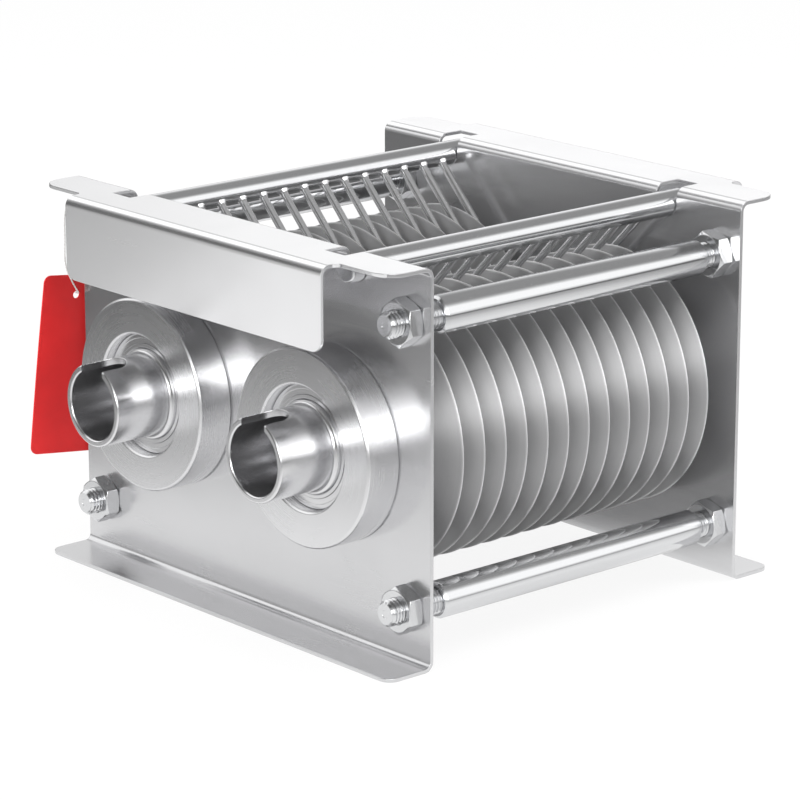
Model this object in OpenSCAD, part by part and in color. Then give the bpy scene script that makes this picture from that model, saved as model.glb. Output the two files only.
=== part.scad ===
// Twin shaft slicing cartridge for meat strips and jerky.
// Two stacks of round blades turn between bent side plates, and two lift-out combs strip the blades.
// Millimetres, Z up. The origin is the centre of the front foot's underside.
// The shafts run along Y, and their slotted drive ends point to the front, which is -Y.

/* [Side plates] */
// Width of each side plate
plate_w = 204; // [202:1:220]
// Height of each side plate
plate_h = 150; // [149:1:170]
// Thickness of the sheet
sheet_t = 1.5; // [1.2:0.1:2]
// Distance between the outer faces of the two plates
frame_depth = 158; // [157:0.5:164]
// Outside radius of every bend
bend_r = 4; // [3:0.5:5]
// Reach of the foot flange from the plate's outer face
foot_reach = 20; // [16:1:30]
// Corner radius of the foot flange
foot_corner_r = 5; // [2:0.5:8]
// Reach of the two end tabs of the top flange
tab_reach = 20; // [16:0.5:22]
// Corner radius of the end tabs
tab_corner_r = 9; // [4:0.5:12]
// Width of the deeper middle band of the top flange
band_w = 150; // [140:1:160]
// Reach of the middle band from the plate's outer face
band_reach = 28; // [26:0.5:34]
// Height of the skirt that hangs from the band, from the top down
skirt_h = 32; // [26:1:34]
// Radius of the skirt's lower corners
skirt_corner_r = 5; // [2:0.5:8]
// Radius of the notch between a tab and the band
notch_r = 3; // [1:0.5:4]

/* [Tie rods] */
// Diameter of a tie rod's body
tie_d = 14; // [12:0.5:15]
// Distance of the tie rods from the plates' side edges
tie_edge = 12; // [11:0.5:13]
// Height of the lower tie rods
tie_low = 21.5; // [20:0.5:23]
// Distance of the upper tie rods below the top of the plates
tie_drop = 21.5; // [20:0.5:23]
// Major diameter of the rods' threaded ends
thread_d = 10; // [8:0.5:10]
// Chamfer of a tie rod's shoulders
tie_chamfer = 1; // [0.5:0.1:1.5]
// Bare thread between the front plate and the rod's front shoulder
front_bare = 11; // [8:0.5:14]
// Bare thread between a rear nut and the rod's rear shoulder
rear_bare = 5; // [3:0.5:8]
// Length of thread that stands out of a front nut
stud_past_nut = 5; // [3:0.5:6]
// Length of thread that stands out of the rear plate
stud_past_plate = 7.8; // [4:0.1:9]
// Chamfer of a thread's end
stud_chamfer = 1.2; // [0.5:0.1:2]
// Diameter of the centre drilling in a thread's end
centre_d = 3; // [2:0.5:4]
// Width of a nut across its flats
nut_af = 16; // [15:0.5:17]
// Thickness of a nut
nut_h = 6.3; // [5:0.1:8]

/* [Bearings] */
// Wall of a bearing housing around its bearing
housing_wall = 14; // [11:0.5:15]
// Thickness of a bearing housing
housing_h = 15; // [13:0.5:18]
// Chamfer of the housing's outer edge
housing_chamfer = 0.8; // [0.4:0.1:1.5]
// Chamfer of the edge where the housing sits on its plate
seat_chamfer = 0.6; // [0.3:0.1:1]
// Depth of the bearing's face below the housing's face
bearing_depth = 4; // [2:0.5:5]
// Outside diameter of a bearing
bearing_d = 47; // [46:0.5:50]
// Bore of a bearing and diameter of the shaft in it
bearing_bore = 35; // [34:0.5:35]
// Width of a bearing
bearing_w = 7; // [6:0.5:8]
// Wall of a bearing's inner ring
inner_wall = 1.8; // [1.5:0.1:2.2]
// Wall of a bearing's outer ring
outer_wall = 2; // [1.5:0.1:2.4]
// Radial gap between a bearing's turning and standing rings
race_gap = 0.1; // [0.05:0.01:0.15]
// Diameter of the plate's and the housing's shaft hole
shaft_hole_d = 42; // [41:0.5:43]

/* [Shafts] */
// Outside diameter of a drive stub
stub_d = 32; // [30:0.5:33]
// Bore of a drive stub
stub_bore = 27; // [24:0.5:28]
// Reach of a drive stub from the plate's outer face
stub_reach = 37.5; // [34:0.5:44]
// Depth of the stub's bore
stub_depth = 46; // [40:1:56]
// Width of the drive slot
slot_w = 13; // [8:0.5:15]
// Length of the drive slot
slot_l = 15; // [10:0.5:17]
// Chamfer of a stub's mouth
mouth_chamfer = 0.5; // [0.2:0.1:0.8]
// Length of full diameter journal that shows in front of the bearing
journal_out = 1; // [0.5:0.1:2]
// Diameter of the shaft under the blades
core_d = 36; // [35.5:0.1:36.5]
// Diameter of the shoulder behind the front bearing
shoulder_d = 39; // [37.5:0.5:40]
// Diameter of the collar that the blades are clamped against
collar_d = 52; // [48:1:60]
// Distance of the collar's front face from the front plate's inner face
collar_gap = 7.5; // [5:0.5:9]
// Width of the key
key_w = 8; // [6:0.5:10]
// Height of the key
key_h = 6; // [4:0.5:7]
// Diameter of the round clamp nut
clamp_nut_d = 52; // [48:1:60]
// Thickness of the round clamp nut
clamp_nut_h = 7; // [5:0.5:7]
// Width of the clamp nut's four wrench slots
wrench_slot_w = 6; // [4:0.5:8]
// Depth of the clamp nut's wrench slots
wrench_slot_depth = 2.5; // [1.5:0.1:3]

/* [Blades] */
// Diameter of a blade
blade_d = 101.5; // [99:0.5:103]
// Thickness of a blade
blade_t = 1; // [0.8:0.05:1.1]
// Depth by which the blades of one shaft reach past the rims of the other's
blade_overlap = 5.5; // [2:0.5:7]
// Depth of a blade beyond its spacers
cut_depth = 14; // [12:0.25:15]
// Width of the ground edge of a blade
edge_w = 0.5; // [0.4:0.1:2]
// Thickness of a blade at its rim
edge_t = 0.3; // [0.1:0.05:0.5]
// Distance from one blade to the next on a shaft
blade_pitch = 10.46; // [10.3:0.02:10.5]
// Distance of the right shaft's first blade from the front plate's outer face
first_blade = 18.7; // [18:0.1:19]
// Least distance of the last blade from the rear plate's outer face
last_blade_room = 12; // [11:0.1:13]
// Share of the pitch by which the left shaft's blades are set forward
stagger_share = 0.125; // [0.12:0.005:0.15]
// Gap between the spacers and the comb fingers that lie along them
finger_gap = 0.3; // [0.2:0.05:1]

/* [Combs] */
// Diameter of a comb's rod
comb_d = 10; // [9:0.5:10]
// Distance of a comb's rod from its shaft, outwards
comb_out = 14.5; // [13.5:0.5:15.5]
// Depth of a comb rod's axis below the top of the plates
comb_drop = 7; // [6.5:0.5:7.5]
// Reach of a comb rod past the plates' outer faces
comb_reach = 6; // [4:0.5:6.5]
// Chamfer of a comb rod's ends
comb_chamfer = 0.6; // [0.3:0.1:1]
// Width of the slots that hold the comb rods
comb_slot_w = 10.8; // [10.6:0.1:11.5]
// Reach of these slots into the top flange from the plate's outer face
comb_slot_reach = 10.5; // [9:0.5:12]
// Diameter of a comb's fingers
finger_d = 3; // [2:0.1:3.2]
// Distance of the fingers' tips from the middle, sideways
finger_tip_side = 9.2; // [6:0.2:16]
// Chamfer of a finger's tip
finger_chamfer = 0.6; // [0.2:0.1:1]
// Distance of a finger's line from its rod's axis, away from the shaft
finger_off = 1.2; // [0.5:0.1:1.5]

/* [Hang tag] */
// Width of the blank tag
tag_w = 39; // [36:1:46]
// Length of the tag
tag_l = 71.5; // [60:0.5:85]
// Thickness of the tag
tag_t = 0.5; // [0.4:0.1:0.8]
// Corner radius of the tag
tag_corner_r = 3; // [1:0.5:5]
// Cut at the tag's upper corner beside the hole
tag_cut = 7; // [4:0.5:10]
// Diameter of the tag's punched hole
tag_hole_d = 3; // [2.4:0.1:4]
// Distance of the hole from the tag's long front edge
tag_hole_side = 16; // [12:0.5:17]
// Distance of the hole from the tag's top edge
tag_hole_top = 8; // [5:0.5:10]
// Depth of the tag's hole below the top of the plates
tag_hang = 48; // [40:0.5:52]
// Gap between the tag and the side of the plates
tag_gap = 1.8; // [1.7:0.1:3]
// Diameter of the string
string_d = 0.9; // [0.7:0.1:1]
// Reach of the string's bends over an edge
string_bend = 1.2; // [0.9:0.1:1.5]
// Reach of the string's slack loop in front of the tag's hole
string_slack = 5.5; // [4:0.5:7]
// Rise of the slack loop above the top of the tie rod's thread
string_rise = 4; // [3:0.5:5]

/* [Hidden] */
// Blades on each shaft, as many as find room between the plates
blade_count = 1 + floor((frame_depth - first_blade - last_blade_room) / blade_pitch);

$fn = 96;

// Extra length of every cut past the face that it opens
overrun = 1;
// Radial gap of parts that are pressed or screwed together
seat_gap = 0.05;
// Radial gap of a bolt in its hole
bolt_gap = 0.3;
// Steps of each rounded stretch in an outline
arc_steps = 6;

// The front plate's outer face and the rear plate's outer face
front_y = foot_reach / 2;
rear_y = front_y + frame_depth;
tie_side = plate_w / 2 - tie_edge;
tie_high = plate_h - tie_drop;
// The shafts are half way up the plates, as far apart as lets the blades pass each other
shaft_z = plate_h / 2;
shaft_side = (blade_d - blade_overlap) / 2;

// Bearings, measured outwards from a plate's outer face
housing_d = bearing_d + 2 * housing_wall;
seat_out = housing_h - bearing_depth - bearing_w;
face_out = housing_h - bearing_depth;
inner_ring_r = bearing_bore / 2 + inner_wall;

// Stations along a shaft
stub_y = front_y - stub_reach;
journal_y = front_y - face_out - journal_out;
shoulder_y = front_y - seat_out;
collar_y = front_y + sheet_t + collar_gap;
shaft_end_y = rear_y + face_out + journal_out;
root_r = (bearing_bore - stub_d) / 2;
stagger = stagger_share * blade_pitch;

// Combs
comb_side = shaft_side + comb_out;
comb_z = plate_h - comb_drop;
comb_slot_z = comb_z - comb_d / 2 - seat_gap + comb_slot_w / 2;
// The fingers tilt from upright so that they just clear the spacers
spacer_r = blade_d / 2 - cut_depth;
comb_rise = comb_z - shaft_z;
finger_line = spacer_r + finger_gap + finger_d / 2 - finger_off;
finger_tilt = atan(comb_out / comb_rise) + asin(finger_line / norm([comb_out, comb_rise]));
finger_l = (comb_side - finger_tip_side) / sin(finger_tilt);

// Hang tag and its string
tag_x = -plate_w / 2 - tag_gap - tag_t / 2;
tag_y = front_y - tab_reach / 8;
tag_hole_z = plate_h - tag_hang;
tag_lean = atan((tag_w / 2 - tag_hole_side) / (tag_l / 2 - tag_hole_top));
string_r = string_d / 2;
// Clear gap between the string and what it passes over
string_gap = 0.15;
string_sides = 8;
string_steps = 4;

function blade_y(side, i) = front_y + first_blade + i * blade_pitch - (side < 0 ? stagger : 0);
function stack_start(side) = blade_y(side, 0) - blade_t / 2;
function stack_end(side) = blade_y(side, blade_count - 1) + blade_t / 2;
function finger_y(k) = blade_y(1, k) - blade_pitch / 2;
function end_y(end) = end < 0 ? front_y : rear_y;

// Points of a quarter arc in a flat outline
function arc(cx, cy, r, from) = [
    for (k = [0:arc_steps]) [cx + r * cos(from + 90 * k / arc_steps), cy + r * sin(from + 90 * k / arc_steps)]
];

// Stands a shape that is drawn along Z on a plate's outer face at a shaft, pointing outwards
module at_housing(side, end) {
    translate([side * shaft_side, end_y(end), shaft_z]) rotate([end < 0 ? 90 : -90, 0, 0]) children();
}

// Lays a shape that is drawn along Z on a shaft's axis, with its foot at y
module on_shaft(side, y) {
    translate([side * shaft_side, y, shaft_z]) rotate([-90, 0, 0]) children();
}

// A turned part along Y from its outline of radius and y
module turned(outline) {
    rotate([-90, 0, 0]) rotate_extrude() polygon(outline);
}

// A flat sheet strip with two rounded outer corners, whose inner edge is at y = 0
module flange_outline(w, reach, r) {
    difference() {
        translate([-w / 2, -reach]) square([w, reach]);
        for (side = [-1, 1])
            translate([side * (w / 2 - r), -reach + r]) mirror([side < 0 ? 1 : 0, 0]) difference() {
                translate([0, -r - overrun]) square([r + overrun, r + overrun]);
                circle(r);
            }
    }
}

// Section of a quarter bend, from its first end on +X to its last on +Y
module bend_section() {
    difference() {
        intersection() {
            circle(bend_r);
            square(bend_r);
        }
        circle(bend_r - sheet_t);
    }
}

// Runs a section drawn in Y and Z along X over a width
module along_x(w) {
    translate([-w / 2, 0, 0]) rotate([90, 0, 90]) linear_extrude(w) children();
}

// A side plate with its outer face at y = 0 and its flanges towards -Y
module side_plate(bolt_d) {
    bend_y = sheet_t - bend_r;
    difference() {
        union() {
            along_x(plate_w) {
                translate([0, bend_r]) square([sheet_t, plate_h - 2 * bend_r]);
                translate([bend_y, plate_h - bend_r]) bend_section();
                translate([bend_y, bend_r]) rotate(-90) bend_section();
            }
            translate([0, bend_y, 0]) linear_extrude(sheet_t)
                flange_outline(plate_w, foot_reach + bend_y, foot_corner_r);
            translate([0, bend_y, plate_h - sheet_t]) linear_extrude(sheet_t) {
                flange_outline(plate_w, tab_reach + bend_y, tab_corner_r);
                translate([-band_w / 2, -band_reach + bend_r - bend_y])
                    square([band_w, band_reach - bend_r + bend_y]);
                for (side = [-1, 1])
                    translate([side * band_w / 2, -tab_reach - bend_y]) mirror([side < 0 ? 1 : 0, 0])
                        difference() {
                            translate([0, -notch_r]) square(notch_r);
                            translate([notch_r, -notch_r]) circle(notch_r);
                        }
            }
            along_x(band_w) translate([bend_r - band_reach, plate_h - bend_r]) rotate(90) bend_section();
            translate([0, sheet_t - band_reach, plate_h]) rotate([90, 0, 0]) linear_extrude(sheet_t)
                translate([0, -bend_r]) flange_outline(band_w, skirt_h - bend_r, skirt_corner_r);
        }
        for (side = [-1, 1]) {
            translate([side * shaft_side, -overrun, shaft_z]) rotate([-90, 0, 0])
                cylinder(h = sheet_t + 2 * overrun, d = shaft_hole_d);
            for (z = [tie_low, tie_high])
                translate([side * tie_side, -overrun, z]) rotate([-90, 0, 0])
                    cylinder(h = sheet_t + 2 * overrun, d = bolt_d);
            translate([side * comb_side, -comb_slot_reach, comb_slot_z]) rotate([-90, 0, 0])
                cylinder(h = comb_slot_reach + sheet_t + overrun, d = comb_slot_w);
            translate([side * comb_side - comb_slot_w / 2, -comb_slot_reach, comb_slot_z])
                cube([comb_slot_w, comb_slot_reach + sheet_t + overrun, plate_h - comb_slot_z + overrun]);
        }
    }
}

module front_side_plate() {
    color("silver") translate([0, front_y, 0]) side_plate(thread_d + 2 * bolt_gap);
}

// The rear holes are tapped, and the nuts lock the rods from inside
module rear_side_plate() {
    color("silver") translate([0, rear_y, 0]) mirror([0, 1, 0]) side_plate(thread_d + 2 * seat_gap);
}

// A tie rod: a thick polished body between two threaded ends
module tie_rod(side, z) {
    front_end = front_y - nut_h - stud_past_nut;
    front_shoulder = front_y + sheet_t + front_bare;
    rear_shoulder = rear_y - sheet_t - nut_h - rear_bare;
    rear_end = rear_y + stud_past_plate;
    body_r = tie_d / 2;
    thread_r = thread_d / 2;
    color("gainsboro") translate([side * tie_side, 0, z]) turned([
        [0, front_end + centre_d / 2],
        [centre_d / 2, front_end],
        [thread_r - stud_chamfer, front_end],
        [thread_r, front_end + stud_chamfer],
        [thread_r, front_shoulder],
        [body_r - tie_chamfer, front_shoulder],
        [body_r, front_shoulder + tie_chamfer],
        [body_r, rear_shoulder - tie_chamfer],
        [body_r - tie_chamfer, rear_shoulder],
        [thread_r, rear_shoulder],
        [thread_r, rear_end - stud_chamfer],
        [thread_r - stud_chamfer, rear_end],
        [centre_d / 2, rear_end],
        [0, rear_end - centre_d / 2]
    ]);
}

// A hexagon nut along +Y from y = 0, with both faces chamfered
module hex_nut(turn) {
    corner_r = nut_af / 2 / cos(30);
    face_r = nut_af / 2 * cos(15);
    // The double cone that cuts the corners stands wide of them at its waist
    waist_r = face_r + nut_h / 2 / tan(30);
    difference() {
        intersection() {
            rotate([-90, turn, 0]) cylinder(h = nut_h, r = corner_r, $fn = 6);
            turned([
                [0, 0],
                [face_r, 0],
                [waist_r, nut_h / 2],
                [face_r, nut_h],
                [0, nut_h]
            ]);
        }
        translate([0, -overrun, 0]) rotate([-90, 0, 0])
            cylinder(h = nut_h + 2 * overrun, d = thread_d + 2 * seat_gap);
    }
}

// Four nuts, one on each tie rod, each tightened to its own angle
module nut_set(y, turns) {
    color("darkgray") for (side = [-1, 1], high = [0, 1])
        translate([side * tie_side, y, high == 1 ? tie_high : tie_low]) hex_nut(turns[high][(side + 1) / 2]);
}

module front_nuts() {
    nut_set(front_y - nut_h, [[26, 24], [12, 22]]);
}

module rear_nuts() {
    nut_set(rear_y - sheet_t - nut_h, [[8, 16], [25, 12]]);
}

// A turned housing that holds one bearing against its inner lip
module housing(side, end) {
    outer_r = housing_d / 2;
    pocket_r = bearing_d / 2 + seat_gap;
    lip_r = shaft_hole_d / 2;
    chamfer = housing_chamfer;
    color("lightgray") at_housing(side, end) rotate_extrude() polygon([
        [lip_r, 0],
        [outer_r - seat_chamfer, 0],
        [outer_r, seat_chamfer],
        [outer_r, housing_h - chamfer],
        [outer_r - chamfer, housing_h],
        [pocket_r + chamfer, housing_h],
        [pocket_r, housing_h - chamfer],
        [pocket_r, seat_out],
        [lip_r, seat_out]
    ]);
}

// A bearing's outer ring with its shields, which stand a little below its faces
module outer_race(side, end) {
    outer_r = bearing_d / 2;
    land_r = outer_r - outer_wall;
    inner_r = inner_ring_r + race_gap;
    shield_in = bearing_w / 20;
    edge = bearing_w / 14;
    color("silver") at_housing(side, end) rotate_extrude() polygon([
        [inner_r, seat_out + shield_in],
        [land_r, seat_out + shield_in],
        [land_r, seat_out],
        [outer_r - edge, seat_out],
        [outer_r, seat_out + edge],
        [outer_r, face_out - edge],
        [outer_r - edge, face_out],
        [land_r, face_out],
        [land_r, face_out - shield_in],
        [inner_r, face_out - shield_in]
    ]);
}

// A bearing's inner ring, which turns with the shaft
module inner_race(side, end) {
    inner_r = bearing_bore / 2 + seat_gap;
    edge = inner_wall / 4;
    color("gainsboro") at_housing(side, end) rotate_extrude() polygon([
        [inner_r, seat_out],
        [inner_ring_r, seat_out],
        [inner_ring_r, face_out],
        [inner_r + edge, face_out],
        [inner_r, face_out - edge]
    ]);
}

// A shaft turned from one bar, with a hollow slotted drive stub at its front end
module shaft(side) {
    stub_r = stub_d / 2;
    bore_r = stub_bore / 2;
    journal_r = bearing_bore / 2;
    core_end = stack_end(side) + clamp_nut_h;
    bore_end = stub_y + stub_depth;
    slot_end = stub_y + slot_l - slot_w / 2;
    color("gainsboro") translate([side * shaft_side, 0, shaft_z]) difference() {
        turned(concat(
            [
                [0, bore_end + bore_r / 2],
                [bore_r, bore_end],
                [bore_r, stub_y + mouth_chamfer],
                [bore_r + mouth_chamfer, stub_y],
                [stub_r - mouth_chamfer, stub_y],
                [stub_r, stub_y + mouth_chamfer]
            ],
            [for (k = [0:arc_steps]) [
                stub_r + root_r * (1 - cos(90 * k / arc_steps)),
                journal_y - root_r * (1 - sin(90 * k / arc_steps))
            ]],
            [
                [journal_r, shoulder_y],
                [shoulder_d / 2, shoulder_y],
                [shoulder_d / 2, collar_y],
                [collar_d / 2, collar_y],
                [collar_d / 2, stack_start(side)],
                [core_d / 2, stack_start(side)],
                [core_d / 2, core_end],
                [journal_r, core_end],
                [journal_r, shaft_end_y - mouth_chamfer],
                [journal_r - mouth_chamfer, shaft_end_y],
                [0, shaft_end_y]
            ]
        ));
        translate([0, slot_end, 0]) cylinder(h = stub_d, d = slot_w);
        translate([-slot_w / 2, stub_y - overrun, 0]) cube([slot_w, slot_end - stub_y + overrun, stub_d]);
        key_space(side, 0);
    }
}

// The room that a shaft's key takes, with a gap on its sides and top
module key_space(side, gap) {
    w = key_w + 2 * gap;
    translate([-w / 2, stack_start(side), (core_d - key_h) / 2])
        cube([w, stack_end(side) - stack_start(side), key_h + gap]);
}

module key(side) {
    color("dimgray") translate([side * shaft_side, 0, shaft_z]) key_space(side, 0);
}

// A hub that slides onto the shaft and its key
module keyed_bore(side) {
    difference() {
        children();
        translate([side * shaft_side, stack_start(side) - overrun, shaft_z]) rotate([-90, 0, 0])
            cylinder(h = stack_end(side) - stack_start(side) + 2 * overrun, d = core_d + 2 * seat_gap);
        translate([side * shaft_side, 0, shaft_z]) key_space(side, seat_gap);
    }
}

// A round blade with its ground edge
module blade(side, i) {
    rim_r = blade_d / 2;
    color("whitesmoke") keyed_bore(side) on_shaft(side, blade_y(side, i)) rotate_extrude() polygon([
        [0, -blade_t / 2],
        [rim_r - edge_w, -blade_t / 2],
        [rim_r, -edge_t / 2],
        [rim_r, edge_t / 2],
        [rim_r - edge_w, blade_t / 2],
        [0, blade_t / 2]
    ]);
}

// The spacers that hold a shaft's blades apart
module spacers(side) {
    color("lightgray") keyed_bore(side) for (i = [0:blade_count - 2])
        on_shaft(side, blade_y(side, i) + blade_t / 2) cylinder(h = blade_pitch - blade_t, r = spacer_r);
}

// The round nut that clamps the stack against the collar
module clamp_nut(side) {
    outer_r = clamp_nut_d / 2;
    chamfer = wrench_slot_depth / 3;
    color("darkgray") on_shaft(side, stack_end(side)) difference() {
        rotate_extrude() polygon([
            [core_d / 2 + seat_gap, 0],
            [outer_r - chamfer, 0],
            [outer_r, chamfer],
            [outer_r, clamp_nut_h - chamfer],
            [outer_r - chamfer, clamp_nut_h],
            [core_d / 2 + seat_gap, clamp_nut_h]
        ]);
        for (turn = [0:90:270]) rotate(turn)
            translate([outer_r - wrench_slot_depth, -wrench_slot_w / 2, -overrun])
                cube([wrench_slot_depth + overrun, wrench_slot_w, clamp_nut_h + 2 * overrun]);
    }
}

// The rod that carries a comb's fingers and rests in the slots of both plates
module comb_rod(side) {
    r = comb_d / 2;
    front_end = front_y - comb_reach;
    rear_end = rear_y + comb_reach;
    color("gainsboro") translate([side * comb_side, 0, comb_z]) turned([
        [0, front_end],
        [r - comb_chamfer, front_end],
        [r, front_end + comb_chamfer],
        [r, rear_end - comb_chamfer],
        [r - comb_chamfer, rear_end],
        [0, rear_end]
    ]);
}

// The wire fingers, welded to the rod, that reach down between the blades and lie along the spacers
module comb_fingers(side) {
    r = finger_d / 2;
    color("white") translate([side * comb_side, 0, comb_z]) difference() {
        for (k = [0:blade_count]) translate([0, finger_y(k), 0])
            rotate([0, 180 + side * finger_tilt, 0]) translate([side * finger_off, 0, 0])
                rotate_extrude() polygon([
                    [0, 0],
                    [r, 0],
                    [r, finger_l - finger_chamfer],
                    [r - finger_chamfer, finger_l],
                    [0, finger_l]
                ]);
        translate([0, front_y, 0]) rotate([-90, 0, 0]) cylinder(h = frame_depth, d = comb_d + 2 * seat_gap);
    }
}

// The blank tag, which hangs in balance from its hole beside the left edge of the plates
module hang_tag() {
    w_front = -tag_hole_side;
    w_back = tag_w - tag_hole_side;
    top = tag_hole_top;
    bottom = tag_hole_top - tag_l;
    r = tag_corner_r;
    color("crimson") translate([tag_x - tag_t / 2, tag_y, tag_hole_z]) rotate([90, 0, 90])
        rotate(-tag_lean) linear_extrude(tag_t) difference() {
            polygon(concat(
                arc(w_front + r, bottom + r, r, 180),
                arc(w_back - r, bottom + r, r, 270),
                [[w_back, top - tag_cut], [w_back - tag_cut, top]],
                arc(w_front + r, top - r, r, 90)
            ));
            circle(d = tag_hole_d);
        }
}

// Route of the tag's string, a closed loop: slack in front of the hole and up beside the plate's edge,
// round the bare thread of the upper left tie rod behind the plate, and straight back down to the hole
string_knots = let (
    pass = string_r + string_gap,
    hole_z = tag_hole_z + tag_hole_d / 2 - pass,
    top_z = tag_hole_z + tag_hole_top,
    out_x = -plate_w / 2 - pass - string_bend / 2,
    near_x = tag_x + tag_t / 2 + pass,
    far_x = tag_x - tag_t / 2 - pass,
    slack_y = tag_y - string_slack,
    inner_y = front_y + sheet_t,
    thread_y = inner_y + front_bare / 2,
    wrap_r = thread_d / 2 + pass,
    high_z = tie_high + wrap_r + string_rise
) concat(
    [
        [tag_x, tag_y, hole_z],
        [near_x + string_r, tag_y, hole_z + string_gap],
        [near_x, (tag_y + slack_y) / 2, hole_z + string_slack],
        [near_x, slack_y, top_z + string_slack],
        [near_x, slack_y, (top_z + tie_high) / 2 + string_slack],
        [near_x - string_r, slack_y + string_bend, high_z - string_bend],
        [out_x, front_y - string_bend, high_z],
        [out_x, inner_y, high_z],
        [out_x + 2 * string_bend, inner_y + 2 * string_bend, high_z - string_bend / 2]
    ],
    [for (turn = [20:32:180]) [-tie_side + wrap_r * sin(turn), thread_y, tie_high + wrap_r * cos(turn)]],
    [
        [-tie_side - wrap_r, thread_y - string_bend, tie_high - wrap_r - string_bend],
        [out_x, inner_y + string_bend, (tie_high + top_z) / 2],
        [far_x - string_r, tag_y + string_bend, (tie_high + 3 * top_z) / 4],
        [far_x, tag_y, top_z],
        [far_x - string_r, tag_y, hole_z + string_gap]
    ]
);

function spline(p0, p1, p2, p3, t) =
    (2 * p1 + (p2 - p0) * t + (2 * p0 - 5 * p1 + 4 * p2 - p3) * t * t + (3 * p1 - p0 - 3 * p2 + p3) * t * t * t) / 2;

function closed_spline(knots, steps) = let (n = len(knots)) [
    for (i = [0:n - 1], k = [0:steps - 1])
        spline(knots[(i + n - 1) % n], knots[i], knots[(i + 1) % n], knots[(i + 2) % n], k / steps)
];

function unit(v) = v / norm(v);

// A closed tube of small facets along a closed path that never runs along the aside vector
module closed_tube(path, r, sides, aside) {
    n = len(path);
    points = [
        for (i = [0:n - 1])
            let (
                along = unit(path[(i + 1) % n] - path[(i + n - 1) % n]),
                out = unit(cross(aside, along)),
                across = cross(along, out)
            )
            for (k = [0:sides - 1])
                path[i] + r * cos(360 * k / sides) * out + r * sin(360 * k / sides) * across
    ];
    faces = [
        for (i = [0:n - 1], k = [0:sides - 1])
            let (
                a = i * sides + k,
                b = i * sides + (k + 1) % sides,
                c = (i + 1) % n * sides + (k + 1) % sides,
                d = (i + 1) % n * sides + k
            )
            each [[a, c, b], [a, d, c]]
    ];
    polyhedron(points, faces);
}

module tag_string() {
    color("white") closed_tube(closed_spline(string_knots, string_steps), string_r, string_sides, [1, -1, 0]);
}

sides = [["left", -1], ["right", 1]];
ends = [["front", -1], ["rear", 1]];

front_side_plate();
rear_side_plate();
for (s = sides) {
    tie_rod(s[1], tie_high);
    tie_rod(s[1], tie_low);
}
front_nuts();
rear_nuts();
for (e = ends, s = sides) {
    housing(s[1], e[1]);
    outer_race(s[1], e[1]);
    inner_race(s[1], e[1]);
}
for (s = sides) {
    shaft(s[1]);
    key(s[1]);
    spacers(s[1]);
    clamp_nut(s[1]);
    comb_rod(s[1]);
    comb_fingers(s[1]);
    for (i = [1:blade_count])
        blade(s[1], i - 1);
}
hang_tag();
tag_string();
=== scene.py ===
"""Looks of a twin shaft slicing cartridge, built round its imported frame."""

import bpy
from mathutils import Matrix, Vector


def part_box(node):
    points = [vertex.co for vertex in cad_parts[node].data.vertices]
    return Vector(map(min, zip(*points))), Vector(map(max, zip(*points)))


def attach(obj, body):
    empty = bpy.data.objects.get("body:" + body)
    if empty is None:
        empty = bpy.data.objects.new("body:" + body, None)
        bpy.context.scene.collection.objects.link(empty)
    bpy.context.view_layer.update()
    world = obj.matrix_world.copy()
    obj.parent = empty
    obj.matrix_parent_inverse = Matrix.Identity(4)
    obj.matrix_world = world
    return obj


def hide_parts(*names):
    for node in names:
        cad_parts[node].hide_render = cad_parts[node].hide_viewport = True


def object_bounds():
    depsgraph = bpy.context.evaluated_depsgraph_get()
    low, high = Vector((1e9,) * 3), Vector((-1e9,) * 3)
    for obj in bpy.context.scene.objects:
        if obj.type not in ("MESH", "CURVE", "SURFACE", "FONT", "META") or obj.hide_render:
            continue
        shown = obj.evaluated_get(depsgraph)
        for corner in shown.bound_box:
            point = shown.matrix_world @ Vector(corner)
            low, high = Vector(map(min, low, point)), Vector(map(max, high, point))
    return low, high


bl_info = {
    "name": "Slicing cartridge looks",
    "version": (1, 0, 0),
    "blender": (4, 5, 0),
    "location": "View3D > Sidebar > Cartridge",
    "description": "Finishes, threads, welds, tag and studio of a twin shaft slicing cartridge",
    "category": "Object",
}

import math

import bmesh
import bpy
from bpy.props import FloatProperty, FloatVectorProperty, IntProperty, PointerProperty
from mathutils import Matrix, Vector

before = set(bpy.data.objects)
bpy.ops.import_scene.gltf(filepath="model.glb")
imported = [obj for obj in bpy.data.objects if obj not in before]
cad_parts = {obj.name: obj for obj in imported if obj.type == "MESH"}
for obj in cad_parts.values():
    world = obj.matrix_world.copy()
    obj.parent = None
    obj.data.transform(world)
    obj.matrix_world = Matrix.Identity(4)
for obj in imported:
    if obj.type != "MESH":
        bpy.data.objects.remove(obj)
CAD_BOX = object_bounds()

SIDES = (("left", -1), ("right", 1))
ENDS = (("front", -1), ("rear", 1))
TIE_PLACES = ("top_left", "top_right", "bottom_left", "bottom_right")
ALONG_SHAFT = Vector((0, 1, 0))
MILLIMETRE = 0.001


def blades_of(side):
    """Names of one shaft's blades, front to rear."""
    found = [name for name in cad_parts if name.startswith(side + "_blade_")]
    return sorted(found, key=lambda name: int(name.rsplit("_", 1)[1]))


def middle(node):
    """Centre of a CAD node's box."""
    low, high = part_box(node)
    return (low + high) / 2


def span(node):
    """Size of a CAD node's box."""
    low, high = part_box(node)
    return high - low


SHAFT_SIDE = middle("housing_front_right").x
SHAFT_HEIGHT = middle("housing_front_right").z
FRONT_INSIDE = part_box("front_side_plate")[1].y
PLATE_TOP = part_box("front_side_plate")[1].z

# What metal reflects: levels by the angle in degrees round the shafts' line, from the right over the top
ROOM_BANDS = (
    (-180, 0.8), (-60, 0.8), (-10, 0.45), (2, 0.6), (10, 1.0), (40, 1.0), (54, 0.42), (64, 0.24),
    (116, 0.24), (132, 0.40), (148, 0.76), (158, 0.84), (180, 0.84),
)
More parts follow.
